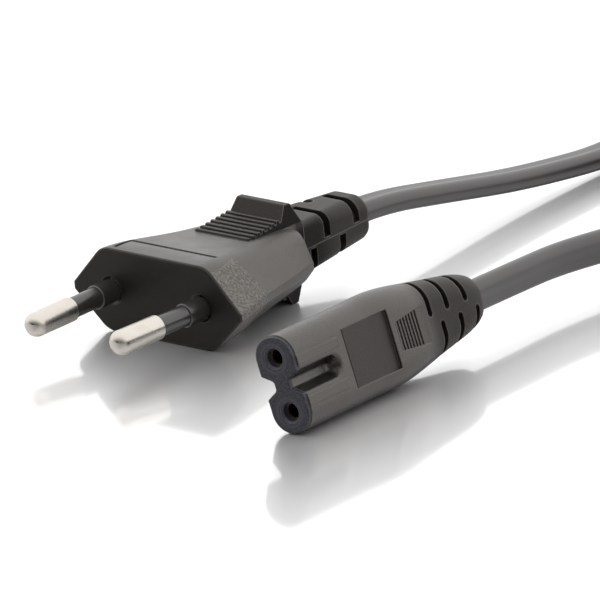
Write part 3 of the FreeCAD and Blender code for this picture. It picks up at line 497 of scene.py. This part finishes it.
def eroded_bands(tree, place, look):
    """Coarser grip bands on the plug's four slanted sides, which reach further back low on the slant; their
    crests are paled as a painted highlight.
    """
    links = {
        "Value": place["level"],
        "From Max": BAND_TOP,
        "To Min": BAND_REACH_LOW,
        "To Max": BAND_REACH_HIGH,
    }
    reach = add(tree, "ShaderNodeMapRange", links)
    before = add(tree, "ShaderNodeMath", {0: place["back"], 1: reach}, operation="LESS_THAN")
    slants = zone(tree, place, ERODED_BANDS)
    band = add(tree, "ShaderNodeMath", {0: before, 1: slants}, operation="MULTIPLY")
    pits, crest = erosion(tree, place["local"], BAND_PITS, BAND_CRESTS)
    # pale crests: a painted highlight on the grain
    links = {"Factor": crest, "A": hex_colour(BAND_TONE_AND_CREST_HIGHLIGHT[0]), "B": hex_colour(BAND_TONE_AND_CREST_HIGHLIGHT[1])}
    speckle_and_crest_highlight = add(tree, "ShaderNodeMix", links, data_type="RGBA")
    deep = add(tree, "ShaderNodeMath", {0: pits, 1: BAND_DEPTH}, operation="MULTIPLY")
    cover(tree, look, band, tone=speckle_and_crest_highlight, rough=BAND_ROUGHNESS, height=deep)


def matt_and_shaded_skin(tree, place, look):
    """Walls of the thumb grips, flanks at the root of the relief and, in part, the pin face: made matt, and
    darkened in tone as painted shade.
    """
    links = {0: place["level"], 1: WALL_LEAN, 2: place["side"]}
    leaning = add(tree, "ShaderNodeMath", links, operation="MULTIPLY_ADD")
    walls = zone(tree, {**place, "leaning": leaning}, GRIP_WALLS)
    flanks = soft_zone(tree, place, RELIEF_ROOT_FLANKS)
    links = {0: zone(tree, place, PIN_FACE), 1: PIN_FACE_MATT_AND_SHADE}
    matt_and_shade = add(tree, "ShaderNodeMath", links, operation="MULTIPLY")
    for part in (walls, flanks):
        matt_and_shade = add(tree, "ShaderNodeMath", {0: matt_and_shade, 1: part}, operation="MAXIMUM")
    # matt finish, with a darker tone that is painted shade
    cover(tree, look, matt_and_shade, tone=PAINTED_SHADE_TONE, sheen=MATT_SPECULAR)


def parting_line(tree, place, look):
    """Line where the mould's halves met, along both flanks of the strain relief."""
    cover(tree, look, zone(tree, place, PARTING_LINE), tone=PARTING_TONE, height=PARTING_HEIGHT)


# Extruded PVC sheath: smoother and a shade paler than the mouldings, with faint draw lines along it

SHEATH_TONES = ("26221f", "2e2a27")
SHEATH_GLOSS = (0.30, 0.40)
SHEATH_HAZE = 5.56 * MM
DRAW_LINE_LENGTH = 111.0 * MM
DRAW_LINES_ROUND = 60.0
DRAW_LINE_DEPTH = 0.05 * MM


def extruded_sheath():
    material, tree = new_material("extruded_pvc_sheath")
    uv = add(tree, "ShaderNodeUVMap", uv_map="cord_uv")
    links = {"Vector": uv, "Scale": (1 / DRAW_LINE_LENGTH, DRAW_LINES_ROUND, 1.0)}
    stretch = add(tree, "ShaderNodeMapping", links)
    lines = add(tree, "ShaderNodeTexNoise", {"Vector": stretch, "Scale": 1.0, "Detail": 3.0})
    place = add(tree, "ShaderNodeTexCoord").outputs["Object"]
    haze = add(tree, "ShaderNodeTexNoise", {"Vector": place, "Scale": 1 / SHEATH_HAZE, "Detail": 2.0})
    tone, rough = mottle(tree, haze, lines, SHEATH_TONES, SHEATH_GLOSS)
    bump = add(tree, "ShaderNodeBump", {"Height": lines, "Strength": 0.12, "Distance": DRAW_LINE_DEPTH})
    shader = add(
        tree,
        "ShaderNodeBsdfPrincipled",
        {
            "Base Color": tone,
            "Roughness": rough,
            "IOR": PLASTIC_IOR,
            "Specular IOR Level": SATIN_SPECULAR,
            "Normal": bump,
        },
    )
    add(tree, "ShaderNodeOutputMaterial", {"Surface": shader})
    return material


# Turned metal: nickel plate or bare copper, slightly warm, with fine turning rings and faint rubbing

# bands of a wave texture along one axis, at a scale of one
WAVES_PER_UNIT = 20 / (2 * math.pi)
# fine rings that soften the gleam
TURNING_PITCH = 0.121 * MM
TURNING_DEPTH = 0.02 * MM
PIN_TONES = ("d6d1c9", "c6c0b6")
CONTACT_TONES = ("a0927e", "8c7f6c")
COPPER_TONES = ("b8734f", "a25f3e")
RUBBING = 2.38 * MM
RUBBED_SPREAD = (0.35, 0.7)
RUBBED_GLOSS = (0.25, 0.33)
PIN_TIP_SPACING = 9.0 * MM
PIN_DOME = (("back", None, -17.0), ("round", None, 1.05))
PIN_DOME_ROUGHNESS = 0.1


def turned_metal(name, end, tones, domed=False):
    """Satin metal; the pins have a polished dome in the middle of each tip."""
    material, tree = new_material(name)
    local = end_coordinates(tree, end)
    rings = add(
        tree,
        "ShaderNodeTexWave",
        {"Vector": local, "Scale": 1 / (WAVES_PER_UNIT * TURNING_PITCH), "Distortion": 1.2, "Detail": 2.0},
        wave_type="BANDS",
        bands_direction="X",
    )
    rubbed = add(tree, "ShaderNodeTexNoise", {"Vector": local, "Scale": 1 / RUBBING, "Detail": 4.0})
    tone, rough = mottle(tree, rubbed, rubbed, tones, RUBBED_GLOSS, RUBBED_SPREAD)
    look = {"tone": tone, "rough": rough}
    if domed:
        place = end_place(tree, local)
        place["round"] = from_axis(tree, place["side"], PIN_TIP_SPACING, place["level"])
        cover(tree, look, zone(tree, place, PIN_DOME), rough=PIN_DOME_ROUGHNESS)
    bump = add(
        tree,
        "ShaderNodeBump",
        {"Height": rings.outputs["Fac"], "Strength": 0.05, "Distance": TURNING_DEPTH},
    )
    shader = add(
        tree,
        "ShaderNodeBsdfPrincipled",
        {"Base Color": look["tone"], "Metallic": 1.0, "Roughness": look["rough"], "Normal": bump},
    )
    add(tree, "ShaderNodeOutputMaterial", {"Surface": shader})
    return material


# Smooth plastics: polyamide round the pins and PVC on the cores, even in tone with a faint haze

BRIDGE_TONES = ("16171c", "1c1e24")
BRIDGE_GLOSS = (0.28, 0.36)
SLEEVE_TONES = ("2b2a28", "33312f")
SLEEVE_GLOSS = (0.20, 0.27)
BROWN_TONES = ("4a2c1a", "55341f")
BLUE_TONES = ("2b4f8f", "33599c")
CORE_GLOSS = (0.40, 0.48)
PLAIN_SPECULAR = 0.5
PLASTIC_HAZE = 1.43 * MM
PLASTIC_RIPPLE = 0.04 * MM


def smooth_plastic(name, tones, gloss, specular=PLAIN_SPECULAR):
    material, tree = new_material(name)
    place = add(tree, "ShaderNodeTexCoord").outputs["Object"]
    haze = add(tree, "ShaderNodeTexNoise", {"Vector": place, "Scale": 1 / PLASTIC_HAZE, "Detail": 3.0})
    tone, rough = mottle(tree, haze, haze, tones, gloss)
    bump = add(tree, "ShaderNodeBump", {"Height": haze, "Strength": 0.05, "Distance": PLASTIC_RIPPLE})
    shader = add(
        tree,
        "ShaderNodeBsdfPrincipled",
        {
            "Base Color": tone,
            "Roughness": rough,
            "IOR": PLASTIC_IOR,
            "Specular IOR Level": specular,
            "Normal": bump,
        },
    )
    add(tree, "ShaderNodeOutputMaterial", {"Surface": shader})
    return material


# Face of the connector's insert: eroded polyamide with a bluish cast and faint rings round the holes; crests
# and rings are paled as a painted highlight

HOLE_SPACING = 4.3 * MM
RING_STEP = 0.45 * MM
RING_REACH = 2.6 * MM
RING_PEAK = 0.99
RING_HIGHLIGHT = 0.8
INSERT_PITS = 0.294 * MM
INSERT_CRESTS = (0.4, 0.72)
# the paler tone of crests and rings is a painted highlight
INSERT_TONE_AND_HIGHLIGHT = ("1e1e25", "3f3f48")
INSERT_EDGE = 0.18 * MM
# paler tone of the insert's rim: a painted highlight
INSERT_EDGE_HIGHLIGHT_TONE = hex_colour("5c5c66")
INSERT_ROUGHNESS = 0.46
INSERT_EDGE_ROUGHNESS = 0.3
INSERT_SPECULAR = 0.4
INSERT_DEPTH = 0.1 * MM


def insert_face():
    material, tree = new_material("eroded_polyamide_insert")
    local = end_coordinates(tree, CONNECTOR_END)
    place = end_place(tree, local)
    distance = from_axis(tree, place["level"], HOLE_SPACING, place["side"])
    wave = add(tree, "ShaderNodeMath", {0: distance, 1: RING_STEP}, operation="PINGPONG")
    full = add(tree, "ShaderNodeMath", {0: wave, 1: RING_PEAK / RING_STEP}, operation="MULTIPLY")
    near = add(tree, "ShaderNodeMath", {0: distance, 1: RING_REACH}, operation="LESS_THAN")
    rings = add(tree, "ShaderNodeMath", {0: full, 1: near}, operation="MULTIPLY")
    pits, crest = erosion(tree, local, INSERT_PITS, INSERT_CRESTS)
    # crests and rings paled: a painted highlight
    faint = add(tree, "ShaderNodeMath", {0: rings, 1: RING_HIGHLIGHT}, operation="MULTIPLY")
    crest_and_ring_highlight = add(tree, "ShaderNodeMath", {0: crest, 1: faint}, operation="MAXIMUM")
    links = {"Factor": crest_and_ring_highlight, "A": hex_colour(INSERT_TONE_AND_HIGHLIGHT[0]), "B": hex_colour(INSERT_TONE_AND_HIGHLIGHT[1])}
    tone = add(tree, "ShaderNodeMix", links, data_type="RGBA")
    height = add(tree, "ShaderNodeMath", {0: rings, 1: pits}, operation="ADD")
    look = {"tone": tone, "rough": INSERT_ROUGHNESS}
    edge_normal, edge_wear_and_highlight = worn_and_highlit_edges(tree, INSERT_EDGE)
    # the rim of the insert is paled as a painted highlight
    cover(tree, look, edge_wear_and_highlight, tone=INSERT_EDGE_HIGHLIGHT_TONE, rough=INSERT_EDGE_ROUGHNESS)
    links = {"Height": height, "Strength": 0.35, "Distance": INSERT_DEPTH, "Normal": edge_normal}
    bump = add(tree, "ShaderNodeBump", links)
    shader = add(
        tree,
        "ShaderNodeBsdfPrincipled",
        {
            "Base Color": look["tone"],
            "Roughness": look["rough"],
            "IOR": PLASTIC_IOR,
            "Specular IOR Level": INSERT_SPECULAR,
            "Normal": bump,
        },
    )
    add(tree, "ShaderNodeOutputMaterial", {"Surface": shader})
    return material


# Woven nylon strap: ribs across the band and finer threads along it

STRAP_RIB_PITCH = 0.806 * MM
STRAP_THREAD_PITCH = 0.449 * MM
STRAP_DEPTH = 0.15 * MM
STRAP_TONES = ("151515", "2f2e2d")
STRAP_ROUGHNESS = 0.7
# a diagonal wave turns half as fast along each of three axes
DIAGONAL_WAVES_PER_UNIT = WAVES_PER_UNIT * math.sqrt(3) / 2
STRAP_WAVES = (
    ("DIAGONAL", 1 / (DIAGONAL_WAVES_PER_UNIT * STRAP_RIB_PITCH)),
    ("Y", 1 / (WAVES_PER_UNIT * STRAP_THREAD_PITCH)),
)


def woven_strap():
    material, tree = new_material("woven_nylon_strap")
    place = add(tree, "ShaderNodeTexCoord").outputs["Object"]
    weave = 1.0
    for direction, scale in STRAP_WAVES:
        links = {"Vector": place, "Scale": scale, "Distortion": 0.6, "Detail": 1.0}
        wave = add(tree, "ShaderNodeTexWave", links, wave_type="BANDS", bands_direction=direction)
        weave = add(tree, "ShaderNodeMath", {0: weave, 1: wave.outputs["Fac"]}, operation="MULTIPLY")
    links = {"Factor": weave, "A": hex_colour(STRAP_TONES[0]), "B": hex_colour(STRAP_TONES[1])}
    tone = add(tree, "ShaderNodeMix", links, data_type="RGBA")
    bump = add(tree, "ShaderNodeBump", {"Height": weave, "Strength": 0.6, "Distance": STRAP_DEPTH})
    shader = add(
        tree,
        "ShaderNodeBsdfPrincipled",
        {"Base Color": tone, "Roughness": STRAP_ROUGHNESS, "IOR": PLASTIC_IOR, "Normal": bump},
    )
    add(tree, "ShaderNodeOutputMaterial", {"Surface": shader})
    return material


# Finish of each piece

def dress(material, *names):
    for name in names:
        nodes[name].data.materials.clear()
        nodes[name].data.materials.append(material)


connector_pvc = moulded_pvc("moulded_pvc_connector", CONNECTOR_END, connector_dull, [polished_and_shaded_grooves])
plug_details = [eroded_bands, matt_and_shaded_skin, parting_line]
plug_pvc = moulded_pvc("moulded_pvc_plug", PLUG_END, plug_dull, plug_details)
bridge = smooth_plastic("moulded_polyamide_bridge", BRIDGE_TONES, BRIDGE_GLOSS)
sleeve = smooth_plastic("moulded_polyamide_sleeve", SLEEVE_TONES, SLEEVE_GLOSS, SATIN_SPECULAR)
brown = smooth_plastic("extruded_brown_core", BROWN_TONES, CORE_GLOSS)
blue = smooth_plastic("extruded_blue_core", BLUE_TONES, CORE_GLOSS)
pin = turned_metal("nickel_plated_brass_pin", PLUG_END, PIN_TONES, domed=True)
contact = turned_metal("nickel_plated_brass_contact", CONNECTOR_END, CONTACT_TONES)
copper = turned_metal("bare_copper_strands", CONNECTOR_END, COPPER_TONES)
dress(connector_pvc, "connector_body")
dress(plug_pvc, "plug_body")
dress(insert_face(), "contact_insert")
dress(bridge, "pin_bridge")
dress(sleeve, "pin_sleeve_left", "pin_sleeve_right")
dress(pin, "pin_left", "pin_right")
dress(contact, "contact_upper", "contact_lower")
dress(copper, *[name for name in nodes if name.startswith("strands_")])
dress(brown, "core_connector_upper", "core_plug_left")
dress(blue, "core_connector_lower", "core_plug_right")
dress(woven_strap(), "coil_tie")
cord.data.materials.append(extruded_sheath())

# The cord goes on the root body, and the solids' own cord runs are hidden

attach(cord, "root")
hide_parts("cord_connector_run", "cord_coil", "cord_plug_run")

# Floor: glossy white acrylic that mirrors the object, partly sharp and partly blurred

FLOOR_REACH = 6.0
FLOOR_CORNERS = ((-1, -1), (1, -1), (1, 1), (-1, 1))
WHITE = hex_colour("ffffff")
# the camera sees a whiter and more mirror-like floor than the light that bounces up to the object
FLOOR_BOUNCE = hex_colour("c2c2c4")
SHARP_ROUGHNESS = 0.08
SOFT_ROUGHNESS = 0.38
SOFT_SHARE = 0.62
MIRROR_SHARE = 0.4
MIRROR_SHARE_SEEN = 0.82

floor_mesh = bpy.data.meshes.new("floor")
corners = [(x * FLOOR_REACH, y * FLOOR_REACH, 0) for x, y in FLOOR_CORNERS]
floor_mesh.from_pydata(corners, [], [(0, 1, 2, 3)])
floor = new_object("floor", floor_mesh)
acrylic, tree = new_material("glossy_white_acrylic")
seen = add(tree, "ShaderNodeLightPath").outputs["Is Camera Ray"]
bounce = add(tree, "ShaderNodeMix", {"Factor": seen, "A": FLOOR_BOUNCE, "B": WHITE}, data_type="RGBA")
plain = add(tree, "ShaderNodeBsdfDiffuse", {"Color": bounce})
sharp = add(tree, "ShaderNodeBsdfGlossy", {"Color": WHITE, "Roughness": SHARP_ROUGHNESS})
soft = add(tree, "ShaderNodeBsdfGlossy", {"Color": WHITE, "Roughness": SOFT_ROUGHNESS})
mirror = add(tree, "ShaderNodeMixShader", {0: SOFT_SHARE, 1: sharp, 2: soft})
links = {"Factor": seen, "A": MIRROR_SHARE, "B": MIRROR_SHARE_SEEN}
share = add(tree, "ShaderNodeMix", links, data_type="FLOAT")
polished = add(tree, "ShaderNodeMixShader", {0: share, 1: plain, 2: mirror})
add(tree, "ShaderNodeOutputMaterial", {"Surface": polished})
floor.data.materials.append(acrylic)

# Light: a white room, bright behind, overhead and to the right, dark low down in front and to the left

ROOM_BRIGHT = 1.35
ROOM_DARK = 0.08
BACKDROP = 1.0
SHADE_FRONT = 0.9
SHADE_LEFT = 0.38
SHADE_LOW = 0.7
SHADE_START = -0.05
SHADE_FULL = 0.6

world = bpy.data.worlds.new("studio")
scene.world = world
world.use_nodes = True
tree = world.node_tree
tree.nodes.clear()
heading = add(tree, "ShaderNodeTexCoord").outputs["Generated"]
shade_side = (-AWAY * SHADE_FRONT - RIGHT * SHADE_LEFT - UP * SHADE_LOW).normalized()
facing = add(tree, "ShaderNodeVectorMath", {0: heading, 1: shade_side}, operation="DOT_PRODUCT")
room = add(
    tree,
    "ShaderNodeMapRange",
    {
        "Value": facing,
        "From Min": SHADE_START,
        "From Max": SHADE_FULL,
        "To Min": ROOM_BRIGHT,
        "To Max": ROOM_DARK,
    },
)
seen = add(tree, "ShaderNodeLightPath").outputs["Is Camera Ray"]
strength = add(tree, "ShaderNodeMix", {"Factor": seen, "A": room, "B": BACKDROP}, data_type="FLOAT")
background = add(tree, "ShaderNodeBackground", {"Color": WHITE, "Strength": strength})
add(tree, "ShaderNodeOutputWorld", {"Surface": background})

scene.view_settings.view_transform = "Standard"
